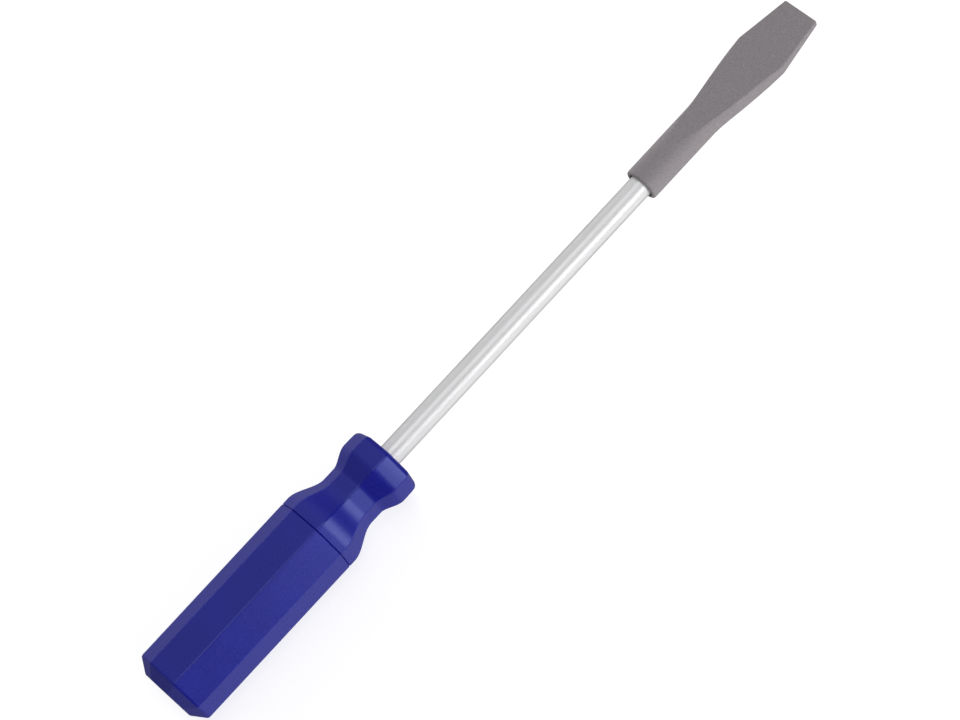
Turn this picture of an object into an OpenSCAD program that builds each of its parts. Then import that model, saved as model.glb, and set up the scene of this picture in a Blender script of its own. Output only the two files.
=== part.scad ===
// Slotted screwdriver with a two-part octagonal handle and a socketed blade head.
// Every sub-part is drawn along its own +Z from the butt of the handle, and place() lays it
// down along +X, on one flat of the handle. Millimetres.

/* [Overall] */
// Length from the butt of the handle to the tip of the blade
total_l = 351.8; // [348:0.1:360]
// Distance across the flats of the octagonal handle
across_flats = 31.4; // [31:0.2:33]
// Radius on the long edges of the handle
edge_r = 0.6; // [0.4:0.1:1]

/* [Grip] */
// Length of the rear grip, from the butt to the seam
grip_l = 79.5; // [76:0.1:84]
// Length of the bevel round the butt
butt_bevel_l = 4; // [2:0.1:5]
// Distance across the flats of the end face
butt_flats = 20.5; // [18:0.5:24]
// Thickness of the floor that closes the butt
floor_t = 6; // [5:0.5:8]
// Distance across the flats of the hollow in the grip
well_flats = 24.8; // [24.8:0.1:25]

/* [Neck] */
// Length of the neck, from the seam to its front face
neck_l = 39.1; // [38.6:0.1:41]
// Corner radius of the neck at its waist
waist_r = 12; // [11.6:0.1:12.4]
// Corner radius of the neck at its front collar
collar_r = 15.2; // [14.8:0.1:15.6]

/* [Core] */
// Distance across the flats of the key that turns the grip
key_flats = 24.6; // [24.2:0.1:24.6]
// Length of the spigot that plugs into the grip
spigot_l = 24; // [22:1:28]
// Distance across the flats of the nose inside the neck
nose_flats = 14; // [13.6:0.1:14.4]

/* [Shaft] */
// Diameter of the shaft
shaft_d = 9.5; // [9:0.1:9.6]
// Thickness of the shaft between its two drive flats
drive_t = 7.4; // [7:0.1:7.8]
// Diameter of the thread that holds the shaft in the core
thread_d = 5; // [4:0.5:5]

/* [Blade] */
// Length of the blade head, from the mouth of its socket to the tip
blade_l = 92.6; // [90:0.1:95]
// Diameter of the round socket
socket_d = 14.3; // [14:0.1:15]
// Width of the blade at its widest point
bulge_w = 22.4; // [20:0.1:23]
// Width of the blade at the tip
tip_w = 15.8; // [14.5:0.1:16.5]
// Thickness of the blade where it starts to flare
flare_t = 8.7; // [8.2:0.1:9.4]
// Thickness of the blade where the tip starts to thin
shoulder_t = 7.4; // [6.8:0.1:8]
// Thickness of the blade at its widest point
bulge_t = 5.5; // [5:0.1:6]
// Thickness of the blade at the tip
tip_t = 3.2; // [2.8:0.1:4.2]

/* [Hidden] */

$fn = 64;
eps = 0.01;
cut = 1; // how far a cutting tool runs past the face it cuts

sides = 8;
side_angle = 360 / sides;
corner_ratio = 1 / cos(side_angle / 2); // corner radius over apothem of the octagon
apothem = across_flats / 2;
handle_l = grip_l + neck_l;
seam_gap = 0.1;

// Joint between grip and core
land_r = 13.4;
land_l = 7;
land_gap = 0.08;
key_z = grip_l - spigot_l;
well_corner_r = 0.8;
seal_z = grip_l - 3.5;
seal_wire_r = 0.9;
seal_gap = 0.04;
seal_r = land_r + land_gap - seal_gap - seal_wire_r; // radius of the ring's centre line
seal_groove_w = 2.2;
seal_groove_r = seal_r - seal_wire_r - 0.02;

// Core and the screws that hold it in the neck
nose_gap = 0.05;
nose_z = grip_l + 34;
screw_count = 4;
screw_angle = side_angle / 2; // the screws stand behind corners of the octagon
screw_circle_r = 9.8;
screw_r = 1.25;
screw_l = 15;
screw_gap = 0.02;
screw_head_r = 2.2;
screw_head_h = 1.8;
screw_slot_w = 0.7;
screw_slot_h = 0.9;
screw_seat_z = grip_l - 6;
screw_well_r = 2.4;

// Fastening of the shaft in the core
shaft_r = shaft_d / 2;
shaft_gap = 0.03;
boss_z = grip_l - 15; // face of the core that the washers bear on
drive_z = grip_l + 3; // front end of the rear drive flats
shaft_z = boss_z + 0.4;
washer_t = 1;
washer_r = 6.1;
washer_well_r = 6.4;
spring_t = 1.2;
spring_r = 4.7;
spring_split = 12; // degrees left open
head_z = boss_z - washer_t - spring_t;
bolt_l = 14;
bolt_head_r = 4.75;
bolt_head_h = 3.2;
bolt_dome_r = 7.2;
bolt_dome_z = 3; // centre of the dome, ahead of the face under the head
hex_recess_r = 1.9;
hex_recess_h = 2;
thread_gap = 0.1;

// Socket of the blade
mouth_z = total_l - blade_l;
front_drive_z = mouth_z + 8;
shaft_end_z = mouth_z + 28;
socket_gap = 0.02;
mouth_gap = 0.9; // width of the relief round the shaft
mouth_gap_l = 3; // depth of that relief
lip_r = 0.9;

// Stations along the blade, as shares of its length
flat_z = mouth_z + 0.202 * blade_l;
flare_z = mouth_z + 0.39 * blade_l;
shoulder_z = mouth_z + 0.66 * blade_l;
bulge_z = mouth_z + 0.75 * blade_l;
flat_side_r = 30; // radius of the narrow sides where the blade is widest

// Stations along the neck, from the seam
land_end = 2.7;
waist_start = 17.1;
waist_end = 23;
collar_start = 31.7;
collar_lead = 0.76; // below 1 the collar rises sooner and levels out later
collar_fall = 0.4; // how far the collar's corners fall towards the front face
rim_r = 2.3;

function mix(a, b, t) = a + (b - a) * t;
function share(a, b, x) = max(0, min(1, (x - a) / (b - a)));
function smooth(t) = t * t * (3 - 2 * t);
function arc_drop(r, d) = r - sqrt(max(0, r * r - d * d));

// Octagon with apothem a and its corners rounded to radius r in n steps
function octagon(a, r, n = 3) = [
    for (i = [0 : sides - 1])
        for (j = [0 : n])
            let (
                corner = (i + 0.5) * side_angle,
                turn = (i + j / n) * side_angle,
                reach = (a - r) * corner_ratio
            )
            [reach * cos(corner) + r * cos(turn), reach * sin(corner) + r * sin(turn)]
];

// Corner radius of the neck at distance s from the seam
function neck_r(s) =
    (s < waist_start
        ? mix(apothem * corner_ratio, waist_r, smooth(share(land_end, waist_start, s)))
        : mix(waist_r, collar_r, smooth(pow(share(waist_end, collar_start, s), collar_lead))))
    - collar_fall * pow(share(collar_start, neck_l, s), 3)
    - arc_drop(rim_r, max(0, s - neck_l + rim_r));

// Half the width, half the thickness and the side radius of the blade
function half_w(z) =
    z < bulge_z ? mix(socket_d, bulge_w, share(flare_z, bulge_z, z)) / 2
    : mix(bulge_w, tip_w, share(bulge_z, total_l, z)) / 2;
function half_t(z) =
    z < flare_z ? mix(socket_d, flare_t, share(flat_z, flare_z, z)) / 2
    : z < shoulder_z ? mix(flare_t, shoulder_t, share(flare_z, shoulder_z, z)) / 2
    : z < bulge_z ? mix(shoulder_t, bulge_t, share(shoulder_z, bulge_z, z)) / 2
    : mix(bulge_t, tip_t, share(bulge_z, total_l, z)) / 2;
function side_r(z) = mix(socket_d / 2, flat_side_r, pow(share(flare_z, bulge_z, z), 2));

// Section of the blade: two flats joined by a round side of n steps at either edge
function section(z, w, t, r, n = 14) =
    let (reach = asin(min(1, t / r)))
    [
        for (side = [1, -1])
            for (j = [0 : n])
                let (a = mix(-reach, reach, j / n))
                [side * r * sin(a), side * (w - r + r * cos(a)), z]
    ];
function blade_ring(z) = section(z, half_w(z), half_t(z), side_r(z));
function lip_ring(s) =
    let (r = socket_d / 2 - arc_drop(lip_r, lip_r - s))
    section(mouth_z + s, r, r, r);

// Closed solid through rings of the same number of points, the lowest ring first
module loft(rings) {
    n = len(rings[0]);
    count = len(rings);
    polyhedron(
        points = [for (ring = rings) for (p = ring) p],
        faces = concat(
            [[for (i = [0 : n - 1]) i]],
            [
                for (k = [0 : count - 2])
                    for (i = [0 : n - 1])
                        [k * n + i, (k + 1) * n + i, (k + 1) * n + (i + 1) % n, k * n + (i + 1) % n]
            ],
            [[for (i = [n - 1 : -1 : 0]) (count - 1) * n + i]]
        ),
        convexity = 6
    );
}

module place() {
    translate([-total_l / 2, 0, apothem]) rotate([0, 90, 0]) children();
}

module prism(flats, z0, z1, r = edge_r) {
    translate([0, 0, z0]) linear_extrude(z1 - z0) polygon(octagon(flats / 2, r));
}

module bore(r, z0, z1) {
    translate([0, 0, z0]) cylinder(r = r, h = z1 - z0);
}

// Round stock with two opposite flats
module drive_stock(r, t, z0, z1) {
    intersection() {
        bore(r, z0, z1);
        translate([-t / 2, -r - cut, z0]) cube([t, 2 * (r + cut), z1 - z0]);
    }
}

// Takes a bevel off the butt of the handle, one flat at a time
module butt_bevel() {
    slope = atan2(butt_bevel_l, (across_flats - butt_flats) / 2);
    for (i = [0 : sides - 1])
        rotate([0, 0, i * side_angle])
            translate([butt_flats / 2, 0, 0])
                rotate([0, -slope, 0])
                    translate([-across_flats, -across_flats, -across_flats])
                        cube([2 * across_flats, 2 * across_flats, across_flats]);
}

module round_screws() {
    for (i = [0 : screw_count - 1])
        rotate([0, 0, screw_angle + i * 360 / screw_count])
            translate([screw_circle_r, 0, 0])
                children();
}

// Rear half of the handle: a closed octagonal cup
module grip() {
    color("mediumblue") place() difference() {
        prism(across_flats, 0, grip_l - seam_gap);
        butt_bevel();
        prism(well_flats, floor_t, grip_l + cut, well_corner_r);
        bore(land_r + land_gap, grip_l - land_l - land_gap, grip_l + cut);
    }
}

// Front half of the handle: an octagonal hourglass on the nose of the core
module neck() {
    step = 0.8;
    stations = concat(
        [0, land_end],
        [for (s = [land_end + step : step : neck_l - rim_r - step / 4]) s],
        [for (a = [0 : 22.5 : 90]) neck_l - rim_r + rim_r * sin(a)]
    );
    color("mediumblue") place() difference() {
        loft([
            for (s = stations)
                [for (p = octagon(neck_r(s) / corner_ratio, edge_r, 2)) [p[0], p[1], grip_l + s]]
        ]);
        prism(nose_flats + 2 * nose_gap, grip_l - cut, nose_z + nose_gap);
        bore(shaft_r + shaft_gap, nose_z - cut, handle_l + cut);
        round_screws() bore(screw_r + screw_gap, grip_l - cut, screw_seat_z + screw_l + 0.5);
    }
}

// Moulded core: key and land for the grip, nose for the neck, seat for the shaft
module core() {
    color("dimgray") place() difference() {
        union() {
            prism(key_flats, key_z, grip_l - land_l + eps);
            bore(land_r, grip_l - land_l, grip_l);
            prism(nose_flats, grip_l - eps, nose_z);
        }
        translate([0, 0, seal_z - seal_groove_w / 2]) difference() {
            cylinder(r = land_r + cut, h = seal_groove_w);
            translate([0, 0, -cut]) cylinder(r = seal_groove_r, h = seal_groove_w + 2 * cut);
        }
        bore(washer_well_r, key_z - cut, boss_z);
        drive_stock(shaft_r + shaft_gap, drive_t + 2 * shaft_gap, boss_z - cut, drive_z + eps);
        bore(shaft_r + shaft_gap, drive_z, nose_z + cut);
        round_screws() {
            bore(screw_well_r, key_z - cut, screw_seat_z);
            bore(screw_r + thread_gap, screw_seat_z - cut, grip_l + cut);
        }
    }
}

// Four thread-forming screws that hold the core in the neck
module core_screws() {
    face_z = screw_seat_z - screw_head_h;
    color("lightgray") place() round_screws() difference() {
        union() {
            bore(screw_r, screw_seat_z - eps, screw_seat_z + screw_l);
            bore(screw_head_r, face_z, screw_seat_z);
        }
        for (turn = [0, 90])
            rotate([0, 0, turn])
                translate([-screw_head_r - cut, -screw_slot_w / 2, face_z - cut])
                    cube([2 * (screw_head_r + cut), screw_slot_w, cut + screw_slot_h]);
    }
}

// Rubber ring whose friction holds the grip on
module ring_seal() {
    color("black") place() translate([0, 0, seal_z])
        rotate_extrude() translate([seal_r, 0]) circle(r = seal_wire_r);
}

// Round steel shaft with drive flats at both ends and a tapped hole in the rear one
module shaft() {
    color("silver") place() difference() {
        union() {
            drive_stock(shaft_r, drive_t, shaft_z, drive_z + eps);
            bore(shaft_r, drive_z, front_drive_z);
            drive_stock(shaft_r, drive_t, front_drive_z - eps, shaft_end_z);
        }
        bore(thread_d / 2 + thread_gap, shaft_z - cut, shaft_z + bolt_l);
    }
}

// Screw with a domed head that pulls the shaft's rear shoulder against the core
module shaft_screw() {
    face_z = head_z - bolt_head_h;
    color("lightgray") place() difference() {
        union() {
            bore(thread_d / 2, head_z - eps, head_z + bolt_l);
            intersection() {
                bore(bolt_head_r, face_z, head_z);
                translate([0, 0, head_z + bolt_dome_z]) sphere(r = bolt_dome_r);
            }
        }
        translate([0, 0, face_z - cut]) cylinder(r = hex_recess_r, h = cut + hex_recess_h, $fn = 6);
    }
}

module spring_washer() {
    inner_r = thread_d / 2 + thread_gap;
    color("gray") place() translate([0, 0, head_z])
        rotate_extrude(angle = 360 - spring_split)
            translate([inner_r, 0]) square([spring_r - inner_r, spring_t]);
}

module flat_washer() {
    color("silver") place() difference() {
        bore(washer_r, boss_z - washer_t, boss_z);
        bore(thread_d / 2 + thread_gap, boss_z - washer_t - cut, boss_z + cut);
    }
}

// Blade head: round socket, two long flats, and a keystone that narrows to the tip
module blade() {
    step = 2.4;
    color("dimgray") place() difference() {
        loft(concat(
            [for (a = [0 : 22.5 : 90]) lip_ring(lip_r * (1 - cos(a)))],
            [for (z = [flat_z : step : flare_z - step / 2]) blade_ring(z)],
            [for (z = [flare_z : step : shoulder_z - step / 2]) blade_ring(z)],
            [for (z = [shoulder_z : step : bulge_z - step / 2]) blade_ring(z)],
            [blade_ring(bulge_z), blade_ring(total_l)]
        ));
        bore(shaft_r + socket_gap, mouth_z - cut, front_drive_z);
        drive_stock(shaft_r + socket_gap, drive_t + 2 * socket_gap, front_drive_z - eps, shaft_end_z);
        bore(shaft_r + mouth_gap, mouth_z - cut, mouth_z + mouth_gap_l);
    }
}

grip();
neck();
core();
core_screws();
ring_seal();
shaft();
shaft_screw();
spring_washer();
flat_washer();
blade();
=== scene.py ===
# Looks of the slotted screwdriver: finer meshes for its pieces, materials, studio and camera.
# The scene is in metres, in the CAD part's own frame: +X runs from the butt to the tip, and the
# handle's lower flat is on z = 0. Profiles are in millimetres: s is a distance along the tool, and
# y and z are distances from its axis.
import math

import bmesh
import bpy
from mathutils import Matrix, Vector


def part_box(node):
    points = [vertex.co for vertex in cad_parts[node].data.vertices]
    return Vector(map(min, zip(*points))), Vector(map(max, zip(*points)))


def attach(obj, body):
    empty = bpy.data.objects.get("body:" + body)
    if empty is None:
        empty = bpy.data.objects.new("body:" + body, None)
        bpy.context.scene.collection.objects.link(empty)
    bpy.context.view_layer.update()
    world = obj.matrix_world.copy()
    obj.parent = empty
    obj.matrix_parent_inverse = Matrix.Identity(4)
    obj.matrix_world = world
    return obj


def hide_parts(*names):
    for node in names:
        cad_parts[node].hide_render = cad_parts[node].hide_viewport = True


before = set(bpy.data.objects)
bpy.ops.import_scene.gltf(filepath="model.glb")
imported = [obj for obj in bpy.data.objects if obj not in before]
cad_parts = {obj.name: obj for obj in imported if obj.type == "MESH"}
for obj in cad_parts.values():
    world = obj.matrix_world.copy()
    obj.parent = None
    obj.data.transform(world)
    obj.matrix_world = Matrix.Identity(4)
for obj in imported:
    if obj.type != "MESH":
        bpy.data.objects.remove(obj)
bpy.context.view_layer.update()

MM = 0.001


def node_span(node):
    """Lowest and highest x of a CAD node, in millimetres from the butt."""
    low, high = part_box(node)
    return (low.x - BUTT) / MM, (high.x - BUTT) / MM


# --- Places taken from the frame -------------------------------------------------------------

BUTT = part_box("grip")[0].x
AXIS_Z = (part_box("grip")[0].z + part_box("grip")[1].z) / 2
APOTHEM = (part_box("grip")[1].z - AXIS_Z) / MM
SHAFT_R = (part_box("shaft")[1].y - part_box("shaft")[0].y) / 2 / MM
SOCKET_R = (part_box("blade")[1].z - AXIS_Z) / MM
BULGE_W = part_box("blade")[1].y / MM
RIM = node_span("grip")[1]
SEAM, NECK_END = node_span("neck")
MOUTH, TIP = node_span("blade")
SHAFT_START, SHAFT_END = node_span("shaft")

CORNER = 1 / math.cos(math.pi / 8)  # corner radius over apothem of an octagon


# --- Profile tools ---------------------------------------------------------------------------

def mix(a, b, t):
    return a + (b - a) * t


def share(a, b, x):
    return min(1.0, max(0.0, (x - a) / (b - a)))


def smooth(t):
    return t * t * (3 - 2 * t)


def knee(u, r):
    """A ramp that starts at zero, with its corner rounded over r to either side."""
    if u <= -r:
        return 0.0
    if u >= r:
        return u
    return (u + r) ** 2 / (4 * r)


def filleted(corners, steps=5):
    """Points (s, radius) of an outline, with each corner (s, radius, fillet) rounded by a curve."""
    points = []
    for i, (s, r, fillet) in enumerate(corners):
        here = Vector((s, r))
        if fillet == 0 or i in (0, len(corners) - 1):
            points.append(here)
            continue
        before = Vector(corners[i - 1][:2]) - here
        after = Vector(corners[i + 1][:2]) - here
        start = here + before.normalized() * fillet
        end = here + after.normalized() * fillet
        for k in range(steps + 1):
            t = k / steps
            points.append(start * (1 - t) ** 2 + here * 2 * t * (1 - t) + end * t * t)
    return [(p.x, p.y) for p in points]


# --- Rings -----------------------------------------------------------------------------------

def on_axis(s, y, z):
    """A point at s mm from the butt, y and z mm from the tool's axis."""
    return Vector((BUTT + s * MM, y * MM, AXIS_Z + z * MM))


def octagon_outline(apothem, round_r, arc_steps=5, flat_steps=6):
    """Octagon with flats facing +-y and +-z, corners rounded, points spread along the flats too."""
    outline = []
    reach = (apothem - round_r) * CORNER
    for i in range(8):
        middle = (i + 0.5) * math.pi / 4
        centre = Vector((reach * math.cos(middle), reach * math.sin(middle)))
        for j in range(arc_steps + 1):
            turn = (i + j / arc_steps) * math.pi / 4
            outline.append(centre + Vector((math.cos(turn), math.sin(turn))) * round_r)
        following = (i + 1.5) * math.pi / 4
        next_centre = Vector((reach * math.cos(following), reach * math.sin(following)))
        turn = (i + 1) * math.pi / 4
        flat_end = next_centre + Vector((math.cos(turn), math.sin(turn))) * round_r
        flat_start = outline[-1]
        outline += [flat_start.lerp(flat_end, j / flat_steps) for j in range(1, flat_steps)]
    return outline


ROUND_ANGLES = [math.atan2(p.y, p.x) for p in octagon_outline(10, 1)]


def octagon_ring(s, apothem, round_r):
    return [on_axis(s, p.x, p.y) for p in octagon_outline(apothem, round_r)]


def matching_circle(s, r):
    """Circle with one point for each point of an octagon ring."""
    return [on_axis(s, r * math.cos(a), r * math.sin(a)) for a in ROUND_ANGLES]


def circle_ring(s, r, flat=None, count=96):
    """Circle, or a circle cut by two flats at z = +-flat."""
    ring = []
    for k in range(count):
        a = 2 * math.pi * (k + 0.5) / count
        z = r * math.sin(a)
        if flat is not None:
            z = max(-flat, min(flat, z))
        ring.append(on_axis(s, r * math.cos(a), z))
    return ring


# --- Mesh tools ------------------------------------------------------------------------------

def finish_mesh(name, bm, sharp_deg=35, weighted=True):
    bmesh.ops.remove_doubles(bm, verts=bm.verts, dist=1e-7)
    bmesh.ops.dissolve_degenerate(bm, edges=bm.edges, dist=1e-8)
    bmesh.ops.recalc_face_normals(bm, faces=bm.faces)
    for face in bm.faces:
        face.smooth = True
    for edge in bm.edges:
        if len(edge.link_faces) == 2:
            edge.smooth = edge.calc_face_angle(0) < math.radians(sharp_deg)
    mesh = bpy.data.meshes.new(name)
    bm.to_mesh(mesh)
    bm.free()
    piece = bpy.data.objects.new(name, mesh)
    bpy.context.scene.collection.objects.link(piece)
    if weighted:
        normals = piece.modifiers.new("normals", "WEIGHTED_NORMAL")
        normals.keep_sharp = True
        normals.weight = 80
    return piece


def loft(name, rings, cap_start=True, cap_end=True, closed=False, **finish):
    """Skin through rings of the same number of points."""
    bm = bmesh.new()
    rows = [[bm.verts.new(p) for p in ring] for ring in rings]
    pairs = list(zip(rows, rows[1:]))
    if closed:
        pairs.append((rows[-1], rows[0]))
    for low, high in pairs:
        for i in range(len(low)):
            j = (i + 1) % len(low)
            bm.faces.new((low[i], low[j], high[j], high[i]))
    if cap_start and not closed:
        bm.faces.new(rows[0][::-1])
    if cap_end and not closed:
        bm.faces.new(rows[-1])
    return finish_mesh(name, bm, **finish)


def bevelled_copy(node, name, width, segments=3):
    """The CAD node's shape with its hard edges broken."""
    bm = bmesh.new()
    bm.from_mesh(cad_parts[node].data)
    bmesh.ops.remove_doubles(bm, verts=bm.verts, dist=1e-7)
    bmesh.ops.dissolve_limit(bm, angle_limit=math.radians(1), verts=bm.verts, edges=bm.edges)
    hard = [
        e for e in bm.edges
        if len(e.link_faces) == 2 and e.calc_face_angle(0) > math.radians(40)
    ]
    bmesh.ops.bevel(
        bm, geom=hard, offset=width * MM, segments=segments, profile=0.5,
        affect="EDGES", clamp_overlap=True,
    )
    return finish_mesh(name, bm)


# --- Materials -------------------------------------------------------------------------------

class Nodes:
    """Short ways to make and wire the nodes of one material."""

    def __init__(self, name):
        self.material = bpy.data.materials.new(name)
        self.material.use_nodes = True
        self.tree = self.material.node_tree
        self.shader = self.tree.nodes["Principled BSDF"]
        self.place = self.add("ShaderNodeTexCoord").outputs["Object"]

    def add(self, kind, **settings):
        node = self.tree.nodes.new(kind)
        for key, value in settings.items():
            setattr(node, key, value)
        return node

    def link(self, a, b):
        self.tree.links.new(a, b)

    def scaled(self, x, y, z):
        """Object coordinates, in metres, times a factor along each axis."""
        mapping = self.add("ShaderNodeMapping")
        mapping.inputs["Scale"].default_value = (x, y, z)
        self.link(self.place, mapping.inputs["Vector"])
        return mapping.outputs["Vector"]

    def noise(self, vector, scale, detail=4.0, roughness=0.55):
        node = self.add("ShaderNodeTexNoise")
        node.inputs["Scale"].default_value = scale
        node.inputs["Detail"].default_value = detail
        node.inputs["Roughness"].default_value = roughness
        self.link(vector, node.inputs["Vector"])
        return node.outputs["Fac"]

    def ranged(self, value, low, high, out_low, out_high):
        node = self.add("ShaderNodeMapRange")
        for key, number in (("From Min", low), ("From Max", high),
                            ("To Min", out_low), ("To Max", out_high)):
            node.inputs[key].default_value = number
        self.link(value, node.inputs["Value"])
        return node.outputs["Result"]

    def blend_colour(self, value, first, second):
        node = self.add("ShaderNodeMix", data_type="RGBA")
        node.inputs["A"].default_value = (*first, 1)
        node.inputs["B"].default_value = (*second, 1)
        self.link(value, node.inputs["Factor"])
        return node.outputs["Result"]

    def bump(self, height, distance, strength=1.0, below=None):
        node = self.add("ShaderNodeBump")
        node.inputs["Distance"].default_value = distance
        node.inputs["Strength"].default_value = strength
        self.link(height, node.inputs["Height"])
        if below is not None:
            self.link(below, node.inputs["Normal"])
        return node.outputs["Normal"]

    def set(self, **values):
        for key, value in values.items():
            self.shader.inputs[key.replace("_", " ")].default_value = value


def blue_plastic():
    n = Nodes("blue_plastic")
    cloud = n.noise(n.place, 60, 3)
    grain = n.noise(n.place, 2600, 2)
    scuff = n.noise(n.place, 180, 3)
    deep, bright = (0.0012, 0.0008, 0.208), (0.0020, 0.0014, 0.230)
    colour = n.blend_colour(n.ranged(cloud, 0.35, 0.65, 0, 1), deep, bright)
    n.link(colour, n.shader.inputs["Base Color"])
    n.link(n.ranged(scuff, 0.3, 0.75, 0.27, 0.278), n.shader.inputs["Roughness"])
    low = n.bump(cloud, 0.00003, 0.5)
    n.link(n.bump(grain, 0.0000012, 0.6, low), n.shader.inputs["Normal"])
    n.set(IOR=1.58, Specular_IOR_Level=1.0, Specular_Tint=(0.50, 0.57, 1.0, 1))
    return n.material


def satin_steel():
    n = Nodes("satin_steel")
    lines = n.noise(n.scaled(0.02, 1, 1), 1600, 6, 0.65)
    patches = n.noise(n.scaled(0.3, 1, 1), 160, 3)
    dull, clear = (0.87, 0.87, 0.88), (0.95, 0.95, 0.96)
    colour = n.blend_colour(n.ranged(lines, 0.35, 0.65, 0, 1), dull, clear)
    n.link(colour, n.shader.inputs["Base Color"])
    n.link(n.ranged(patches, 0.3, 0.7, 0.40, 0.47), n.shader.inputs["Roughness"])
    n.link(n.bump(lines, 0.00001, 0.6), n.shader.inputs["Normal"])
    n.set(Metallic=0.72, Specular_Tint=(0.1, 0.1, 0.1, 1))
    return n.material


def grey_blade():
    n = Nodes("grey_blade")
    grain = n.noise(n.place, 2200, 4, 0.7)
    mottle = n.noise(n.place, 260, 4)
    dark, light = (0.186, 0.169, 0.179), (0.290, 0.267, 0.281)
    colour = n.blend_colour(n.ranged(grain, 0.35, 0.68, 0, 1), dark, light)
    n.link(colour, n.shader.inputs["Base Color"])
    n.link(n.ranged(mottle, 0.3, 0.7, 0.56, 0.72), n.shader.inputs["Roughness"])
    low = n.bump(mottle, 0.00005, 0.5)
    n.link(n.bump(grain, 0.00005, 0.7, low), n.shader.inputs["Normal"])
    return n.material


def zinc_steel():
    n = Nodes("zinc_steel")
    cloud = n.noise(n.place, 700, 4)
    colour = n.blend_colour(cloud, (0.56, 0.57, 0.60), (0.74, 0.75, 0.78))
    n.link(colour, n.shader.inputs["Base Color"])
    n.link(n.ranged(cloud, 0.3, 0.7, 0.22, 0.38), n.shader.inputs["Roughness"])
    n.link(n.bump(n.noise(n.place, 3000, 2), 0.000005, 0.5), n.shader.inputs["Normal"])
    n.set(Metallic=1.0)
    return n.material


def black_nylon():
    n = Nodes("black_nylon")
    fibre = n.noise(n.scaled(0.3, 1, 1), 1800, 5, 0.7)
    colour = n.blend_colour(fibre, (0.028, 0.028, 0.031), (0.052, 0.052, 0.056))
    n.link(colour, n.shader.inputs["Base Color"])
    n.link(n.ranged(fibre, 0.3, 0.7, 0.42, 0.6), n.shader.inputs["Roughness"])
    n.link(n.bump(fibre, 0.00002, 0.5), n.shader.inputs["Normal"])
    return n.material


def seal_rubber():
    n = Nodes("seal_rubber")
    bloom = n.noise(n.place, 900, 3)
    colour = n.blend_colour(bloom, (0.012, 0.012, 0.012), (0.024, 0.024, 0.024))
    n.link(colour, n.shader.inputs["Base Color"])
    n.link(n.ranged(bloom, 0.3, 0.7, 0.5, 0.66), n.shader.inputs["Roughness"])
    n.link(n.bump(bloom, 0.00001, 0.5), n.shader.inputs["Normal"])
    return n.material


def studio_white():
    """Pale table that glows a little, as a backlit product table does."""
    n = Nodes("studio_white")
    sweep = n.noise(n.place, 3, 2)
    colour = n.blend_colour(sweep, (0.41, 0.41, 0.41), (0.43, 0.43, 0.43))
    n.link(colour, n.shader.inputs["Base Color"])
    n.set(Roughness=0.9, Emission_Color=(1, 1, 1, 1), Emission_Strength=0.74)
    return n.material


BLUE = blue_plastic()
STEEL = satin_steel()
GREY = grey_blade()
ZINC = zinc_steel()
NYLON = black_nylon()
RUBBER = seal_rubber()


def settle(piece, body, node, material):
    """Put a piece on its body, in place of a CAD node and with a material."""
    piece.data.materials.clear()
    piece.data.materials.append(material)
    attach(piece, body)
    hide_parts(node)


# --- Handle ----------------------------------------------------------------------------------

EDGE_R = 1.1  # rounding between the handle's facets
SEAM_BREAK = 0.25  # bevel on both edges of the seam
BUTT_APOTHEM = 10.25
BEVEL_L = 4.0
DRAFT = 0.12  # how much slimmer the grip's flats are at the butt
WELL_APOTHEM = 12.4
WELL_CORNER = 0.8
WELL_FLOOR = 6.0
LAND_R = 13.48  # round bore at the grip's mouth, which the ring seal bears on
LAND_DEPTH = 7.08
LEAD_IN = 0.35  # chamfer at the mouth of that bore
RIM_REACH = 1.0  # where the rim's flat face turns from octagon to circle, outside the bore
CENTRE_R = 0.4  # the ends close with a small flat face of this size


def make_grip():
    bevel_apothem = APOTHEM - DRAFT
    outline = filleted([
        (0, CENTRE_R, 0),
        (0, BUTT_APOTHEM, 0.35),
        (BEVEL_L, bevel_apothem, 0.8),
        (mix(BEVEL_L, RIM, 0.5), mix(bevel_apothem, APOTHEM, 0.5), 0),
        (RIM - SEAM_BREAK, APOTHEM, 0),
        (RIM, APOTHEM - SEAM_BREAK, 0),
    ])
    rings = [octagon_ring(s, a, min(EDGE_R, a / 3)) for s, a in outline]
    mouth = filleted([
        (RIM, LAND_R + RIM_REACH, 0),
        (RIM, LAND_R + LEAD_IN, 0),
        (RIM - LEAD_IN, LAND_R, 0),
        (RIM - LAND_DEPTH, LAND_R, 0),
    ])
    rings += [matching_circle(s, r) for s, r in mouth]
    well = filleted([
        (RIM - LAND_DEPTH, WELL_APOTHEM, 0),
        (WELL_FLOOR, WELL_APOTHEM, 1.0),
        (WELL_FLOOR, CENTRE_R, 0),
    ])
    rings += [octagon_ring(s, a, min(WELL_CORNER, a / 3)) for s, a in well]
    return loft("grip_shell", rings)


WAIST_CORNER = 12.0  # corner radius of the octagon at the waist
COLLAR_CORNER = 15.2  # corner radius where the collar begins
COLLAR_FALL = 0.4  # how much the collar slims towards its front
COLLAR_LEAD = 0.9  # below 1, the foot of the collar is the steeper end
LAND_END, WAIST_START, WAIST_END, COLLAR_START = 2.7, 17.1, 22.3, 31.4  # from the seam
FRONT_ROUND = 2.3  # rounding of the collar's front edge
NECK_RINGS = 76
FRONT_RINGS = 6
HOLE_GAP = 0.03  # clearance round the shaft
HOLE_BREAK = 0.3
FACE_REACH = 3.0  # where the front face turns from octagon to circle, outside the hole
NOSE_APOTHEM = 7.05  # octagonal bore that takes the core's nose
NOSE_CORNER = 0.6
NOSE_DEPTH = 34.05


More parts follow.
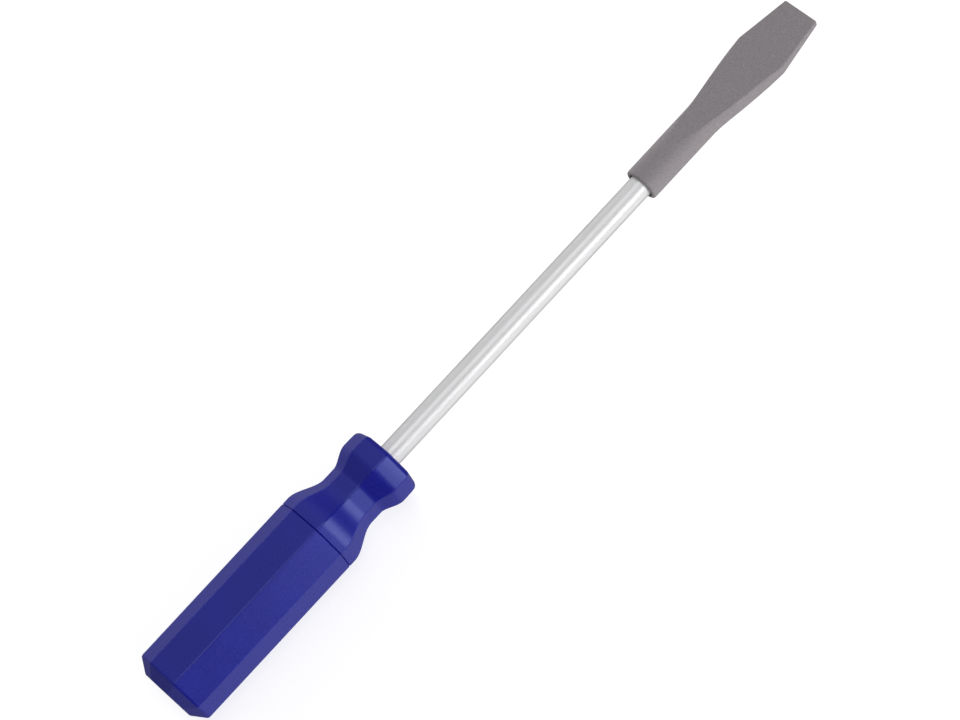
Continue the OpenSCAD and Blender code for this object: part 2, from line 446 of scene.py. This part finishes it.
def neck_corner(s):
    """Corner radius of the neck at s mm from the seam, before its front edge is rounded."""
    if s < WAIST_START:
        r = mix(APOTHEM * CORNER, WAIST_CORNER, smooth(share(LAND_END, WAIST_START, s)))
    else:
        rise = share(WAIST_END, COLLAR_START, s) ** COLLAR_LEAD
        r = mix(WAIST_CORNER, COLLAR_CORNER, smooth(rise))
    return r - COLLAR_FALL * share(COLLAR_START, NECK_END - SEAM, s) ** 3


def make_neck():
    length = NECK_END - SEAM
    hole_r = SHAFT_R + HOLE_GAP
    rings = [octagon_ring(SEAM, APOTHEM - SEAM_BREAK, EDGE_R)]
    for k in range(NECK_RINGS + 1):
        s = mix(SEAM_BREAK, length - FRONT_ROUND, k / NECK_RINGS)
        rings.append(octagon_ring(SEAM + s, neck_corner(s) / CORNER, EDGE_R))
    for k in range(1, FRONT_RINGS + 1):
        turn = k / FRONT_RINGS * math.pi / 2
        s = length - FRONT_ROUND * (1 - math.sin(turn))
        a = neck_corner(s) / CORNER - FRONT_ROUND * (1 - math.cos(turn))
        rings.append(octagon_ring(SEAM + s, a, EDGE_R))
    hole = [
        (NECK_END, hole_r + FACE_REACH),
        (NECK_END, hole_r + HOLE_BREAK),
        (NECK_END - HOLE_BREAK, hole_r),
        (SEAM + NOSE_DEPTH, hole_r),
    ]
    rings += [matching_circle(s, r) for s, r in hole]
    rings += [octagon_ring(SEAM + s, NOSE_APOTHEM, NOSE_CORNER) for s in (NOSE_DEPTH, 0)]
    return loft("neck_shell", rings, closed=True)


# --- Shaft -----------------------------------------------------------------------------------

DRIVE_HALF = 3.7  # half the distance over the drive flats at both ends of the shaft
DRIVE_END = 3.0  # front end of the rear flats, from the seam
DRIVE_START = 8.0  # rear end of the front flats, from the mouth
TAP_R = 2.6  # hole for the shaft screw
TAP_DEPTH = 14.0
TAP_CONE_L = 1.2
POINT_R = 0.05  # radius at which a cone or a bore's floor closes
END_CHAMFER = 0.4
SHAFT_RINGS = 24


def make_shaft():
    stations = [
        (SHAFT_START + TAP_DEPTH + TAP_CONE_L, POINT_R, None),
        (SHAFT_START + TAP_DEPTH, TAP_R, None),
        (SHAFT_START, TAP_R, None),
        (SHAFT_START, SHAFT_R - END_CHAMFER, DRIVE_HALF - END_CHAMFER),
        (SHAFT_START + END_CHAMFER, SHAFT_R, DRIVE_HALF),
        (SEAM + DRIVE_END, SHAFT_R, DRIVE_HALF),
        (SEAM + DRIVE_END, SHAFT_R, None),
    ]
    for k in range(1, SHAFT_RINGS):
        s = mix(SEAM + DRIVE_END, MOUTH + DRIVE_START, k / SHAFT_RINGS)
        stations.append((s, SHAFT_R, None))
    stations += [
        (MOUTH + DRIVE_START, SHAFT_R, None),
        (MOUTH + DRIVE_START, SHAFT_R, DRIVE_HALF),
        (SHAFT_END - END_CHAMFER, SHAFT_R, DRIVE_HALF),
        (SHAFT_END, SHAFT_R - END_CHAMFER, DRIVE_HALF - END_CHAMFER),
    ]
    return loft("shaft_rod", [circle_ring(*station) for station in stations])


# --- Blade -----------------------------------------------------------------------------------

FLAT_S, FLARE_S, SHOULDER_S, BULGE_S = 18.7, 36.1, 61.1, 69.45  # from the socket's mouth
FLARE_HALF_T = 4.35
SHOULDER_HALF_T = 3.7
BULGE_HALF_T = 2.75
TIP_HALF_T = 1.6
TIP_HALF_W = 7.9
FLAT_SIDE_R = 30.0  # radius of the narrow sides where the blade is widest
FLARE_BLEND, BULGE_BLEND = 3.0, 1.2  # rounding of the outline where it widens and narrows
EDGE_START, EDGE_FULL = 0.05, 1.0  # rounding between the flats and the sides, at either end
EDGE_SHARE = 0.42  # the most of it, as a share of half the thickness
LIP_R = 0.9
SOCKET_GAP = 0.02
MOUTH_GAP = 0.9  # width of the relief round the shaft
MOUTH_GAP_L = 3.0
TIP_ROUND = 0.45
FLAT_LEAD = 1.5  # how far behind the start of the flats the fine rings begin
BLADE_RINGS = 110
LIP_RINGS = 6
TIP_RINGS = 4


def blade_half_w(s):
    length = TIP - MOUTH
    rise = (BULGE_W - SOCKET_R) / (BULGE_S - FLARE_S)
    fall = (TIP_HALF_W - BULGE_W) / (length - BULGE_S)
    widen = rise * knee(s - FLARE_S, FLARE_BLEND)
    narrow = (fall - rise) * knee(s - BULGE_S, BULGE_BLEND)
    return SOCKET_R + widen + narrow


def blade_half_t(s):
    corners = [  # distance from the mouth, half thickness, rounding
        (FLAT_S, SOCKET_R, 1.5),
        (FLARE_S, FLARE_HALF_T, 7.0),
        (SHOULDER_S, SHOULDER_HALF_T, 4.0),
        (BULGE_S, BULGE_HALF_T, 4.0),
        (TIP - MOUTH, TIP_HALF_T, 0.0),
    ]
    t = SOCKET_R
    slope = 0.0
    for (here, half_t, r), (there, next_half_t, _) in zip(corners, corners[1:]):
        next_slope = (next_half_t - half_t) / (there - here)
        t += (next_slope - slope) * knee(s - here, r)
        slope = next_slope
    return t


def blade_outline(w, t, r, e, flat_steps=8, fillet_steps=6, side_steps=24):
    """Two flats at z = +-t, round sides of radius r that reach y = +-w, corners of radius e."""
    t = min(t, r)
    e = min(e, t * 0.6)
    span = math.sqrt(max(0.0, (r - e) ** 2 - (t - e) ** 2))
    edge_y = w - r + span
    low = math.atan2(t - e, span)
    right = []
    for j in range(fillet_steps + 1):
        a = mix(math.pi / 2, low, j / fillet_steps)
        right.append((edge_y + e * math.cos(a), t - e + e * math.sin(a)))
    for j in range(1, side_steps):
        a = mix(low, -low, j / side_steps)
        right.append((w - r + r * math.cos(a), r * math.sin(a)))
    for j in range(fillet_steps + 1):
        a = mix(-low, -math.pi / 2, j / fillet_steps)
        right.append((edge_y + e * math.cos(a), -t + e + e * math.sin(a)))
    half = right + [(mix(edge_y, -edge_y, j / flat_steps), -t) for j in range(1, flat_steps)]
    return half + [(-y, -z) for y, z in half]


def blade_ring(s, inset=0.0):
    r = mix(SOCKET_R, FLAT_SIDE_R, share(FLARE_S, BULGE_S, s) ** 2)
    w, t = blade_half_w(s) - inset, blade_half_t(s) - inset
    soften = mix(EDGE_START, EDGE_FULL, smooth(share(FLAT_S, SHOULDER_S, s)))
    outline = blade_outline(w, t, r, min(soften, t * EDGE_SHARE))
    return [on_axis(MOUTH + s, y, z) for y, z in outline]


def blade_circle(s, r):
    return [on_axis(MOUTH + s, y, z) for y, z in blade_outline(r, r, r, 0.0)]


def make_blade():
    length = TIP - MOUTH
    bore_r = SHAFT_R + SOCKET_GAP
    rings = [
        blade_circle(SHAFT_END - MOUTH, POINT_R),
        blade_circle(SHAFT_END - MOUTH, bore_r),
        blade_circle(MOUTH_GAP_L, bore_r),
        blade_circle(MOUTH_GAP_L, SHAFT_R + MOUTH_GAP),
        blade_circle(0, SHAFT_R + MOUTH_GAP),
    ]
    for k in range(LIP_RINGS + 1):
        turn = k / LIP_RINGS * math.pi / 2
        r = SOCKET_R - LIP_R * (1 - math.sin(turn))
        rings.append(blade_circle(LIP_R * (1 - math.cos(turn)), r))
    for k in range(BLADE_RINGS + 1):
        s = mix(FLAT_S - FLAT_LEAD, length - TIP_ROUND, k / BLADE_RINGS)
        rings.append(blade_ring(s))
    for k in range(1, TIP_RINGS + 1):
        turn = k / TIP_RINGS * math.pi / 2
        s = length - TIP_ROUND * (1 - math.sin(turn))
        rings.append(blade_ring(s, TIP_ROUND * (1 - math.cos(turn))))
    return loft("blade_head", rings)


# --- Rubber ring -----------------------------------------------------------------------------

SEAL_TURNS, SEAL_AROUND = 120, 20


def make_seal():
    """Rubber ring, as a ring of circles round the tool's axis."""
    low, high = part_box("ring_seal")
    wire_r = (high.x - low.x) / 2
    ring_r = (high.y - low.y) / 2 - wire_r
    centre = Vector(((low.x + high.x) / 2, 0, AXIS_Z))
    rings = []
    for i in range(SEAL_TURNS):
        a = 2 * math.pi * i / SEAL_TURNS
        out = Vector((0, math.cos(a), math.sin(a)))
        ring = []
        for j in range(SEAL_AROUND):
            b = 2 * math.pi * j / SEAL_AROUND
            along = Vector((wire_r * math.sin(b), 0, 0))
            ring.append(centre + out * (ring_r + wire_r * math.cos(b)) + along)
        rings.append(ring)
    return loft("seal_ring", rings, closed=True, weighted=False)


# --- Pieces ----------------------------------------------------------------------------------

settle(make_grip(), "rear_grip", "grip", BLUE)
settle(make_neck(), "driver", "neck", BLUE)
settle(make_shaft(), "driver", "shaft", STEEL)
settle(make_blade(), "driver", "blade", GREY)
settle(bevelled_copy("core", "core_moulding", 0.25), "driver", "core", NYLON)
for node, name, width in (
    ("core_screws", "core_screw_set", 0.1),
    ("shaft_screw", "shaft_bolt", 0.12),
    ("spring_washer", "split_washer", 0.1),
    ("flat_washer", "plain_washer", 0.1),
):
    settle(bevelled_copy(node, name, width, 2), "driver", node, ZINC)
settle(make_seal(), "driver", "ring_seal", RUBBER)


# --- Studio ----------------------------------------------------------------------------------

FLOOR_HALF = 12.0


def make_floor():
    bm = bmesh.new()
    signs = ((-1, -1), (1, -1), (1, 1), (-1, 1))
    bm.faces.new([bm.verts.new((x * FLOOR_HALF, y * FLOOR_HALF, 0)) for x, y in signs])
    floor = finish_mesh("studio_floor", bm, weighted=False)
    floor.data.materials.append(studio_white())
    floor.visible_glossy = False  # the pieces mirror the room and not the glowing table


def area_light(name, place, toward, size, size_y, radiance, mirrored=True):
    """Soft box at a place, facing along a direction, of the given brightness to the eye."""
    data = bpy.data.lights.new(name, "AREA")
    data.shape = "RECTANGLE"
    data.size = size
    data.size_y = size_y
    data.energy = radiance * math.pi * size * size_y
    light = bpy.data.objects.new(name, data)
    light.location = place
    light.rotation_euler = Vector(toward).to_track_quat("-Z", "Y").to_euler()
    light.visible_glossy = mirrored
    bpy.context.scene.collection.objects.link(light)


class World:
    """The room: a brightness for each direction, built from smooth ramps."""

    def __init__(self):
        self.world = bpy.data.worlds.new("studio")
        self.world.use_nodes = True
        self.tree = self.world.node_tree
        direction = self.tree.nodes.new("ShaderNodeTexCoord").outputs["Generated"]
        self.split = self.tree.nodes.new("ShaderNodeSeparateXYZ")
        self.tree.links.new(direction, self.split.inputs["Vector"])

    def ramp(self, axis, low, high, at_low, at_high):
        node = self.tree.nodes.new("ShaderNodeMapRange")
        node.interpolation_type = "SMOOTHSTEP"
        for key, number in (("From Min", low), ("From Max", high),
                            ("To Min", at_low), ("To Max", at_high)):
            node.inputs[key].default_value = number
        self.tree.links.new(self.split.outputs[axis], node.inputs["Value"])
        return node.outputs["Result"]

    def math(self, operation, *values):
        node = self.tree.nodes.new("ShaderNodeMath")
        node.operation = operation
        for k, value in enumerate(values):
            if isinstance(value, float):
                node.inputs[k].default_value = value
            else:
                self.tree.links.new(value, node.inputs[k])
        return node.outputs["Value"]

    def finish(self, strength):
        background = self.tree.nodes["Background"]
        background.inputs["Color"].default_value = (1, 1, 1, 1)
        self.tree.links.new(strength, background.inputs["Strength"])
        bpy.context.scene.world = self.world


def make_room():
    """Dim above, brighter towards +y; below, brighter towards -y; darker at both ends of x."""
    w = World()
    above = w.ramp("Y", -0.9, 0.9, 0.27, 0.50)
    below = w.ramp("Y", -0.9, 0.5, 0.92, 0.29)
    is_above = w.ramp("Z", -0.35, 0.0, 0.0, 1.0)
    is_below = w.math("SUBTRACT", 1.0, is_above)
    upper_wall = w.math("MULTIPLY", above, is_above)
    lower_wall = w.math("MULTIPLY", below, is_below)
    wall = w.math("ADD", upper_wall, lower_wall)
    under = w.ramp("Z", -0.95, -0.45, 0.60, 1.0)
    rear_end = w.ramp("X", -0.25, 0.15, 0.60, 1.0)
    front_end = w.ramp("X", 0.55, 0.85, 1.0, 0.40)
    ends = w.math("MULTIPLY", rear_end, front_end)
    w.finish(w.math("MULTIPLY", w.math("MULTIPLY", wall, under), ends))


make_floor()
make_room()
bpy.context.scene.view_settings.view_transform = "Standard"
area_light("side_box", (0.345, -0.75, 0.37), (0, 1, 0), 0.65, 0.50, 1.75)
area_light("top_box", (0, -0.10, 1.60), (0, 0, -1), 1.3, 0.85, 1.0)
area_light("front_fill", (0.15, -0.95, 0.36), (0, 0.95, -0.33), 0.9, 0.6, 3.7, mirrored=False)
area_light("back_fill", (0.15, 0.95, 0.36), (0, -0.95, -0.33), 0.9, 0.6, 4.6, mirrored=False)


# --- Camera ----------------------------------------------------------------------------------

IMAGE_W = 960
PIXEL = 0.3725 * MM  # what one pixel covers at the object
DISTANCE_PX = 3000
AIM_S = 168.7  # the middle of the view, from the butt
AIM_SIDE_PX = 0.95
TILT = math.radians(9)  # how far the blade leans away from the camera
ROLL = math.radians(25.8)  # how far the camera stands round the tool's axis from straight above
HEADING = math.radians(47.13)  # the shaft's slope in the picture


def make_camera():
    toward = Vector((
        -math.sin(TILT),
        -math.cos(TILT) * math.sin(ROLL),
        math.cos(TILT) * math.cos(ROLL),
    ))
    along = (Vector((1, 0, 0)) - toward * toward.x).normalized()
    across = along.cross(toward)
    right = along * math.cos(HEADING) + across * math.sin(HEADING)
    up = along * math.sin(HEADING) - across * math.cos(HEADING)
    aim = on_axis(AIM_S, 0, 0) + across * AIM_SIDE_PX * PIXEL
    place = aim + toward * DISTANCE_PX * PIXEL
    data = bpy.data.cameras.new("camera")
    data.sensor_width = 36
    data.lens = data.sensor_width * DISTANCE_PX / IMAGE_W
    data.clip_start = 0.05
    camera = bpy.data.objects.new("camera", data)
    camera.matrix_world = Matrix((
        (right.x, up.x, toward.x, place.x),
        (right.y, up.y, toward.y, place.y),
        (right.z, up.z, toward.z, place.z),
        (0, 0, 0, 1),
    ))
    bpy.context.scene.collection.objects.link(camera)
    bpy.context.scene.camera = camera


make_camera()
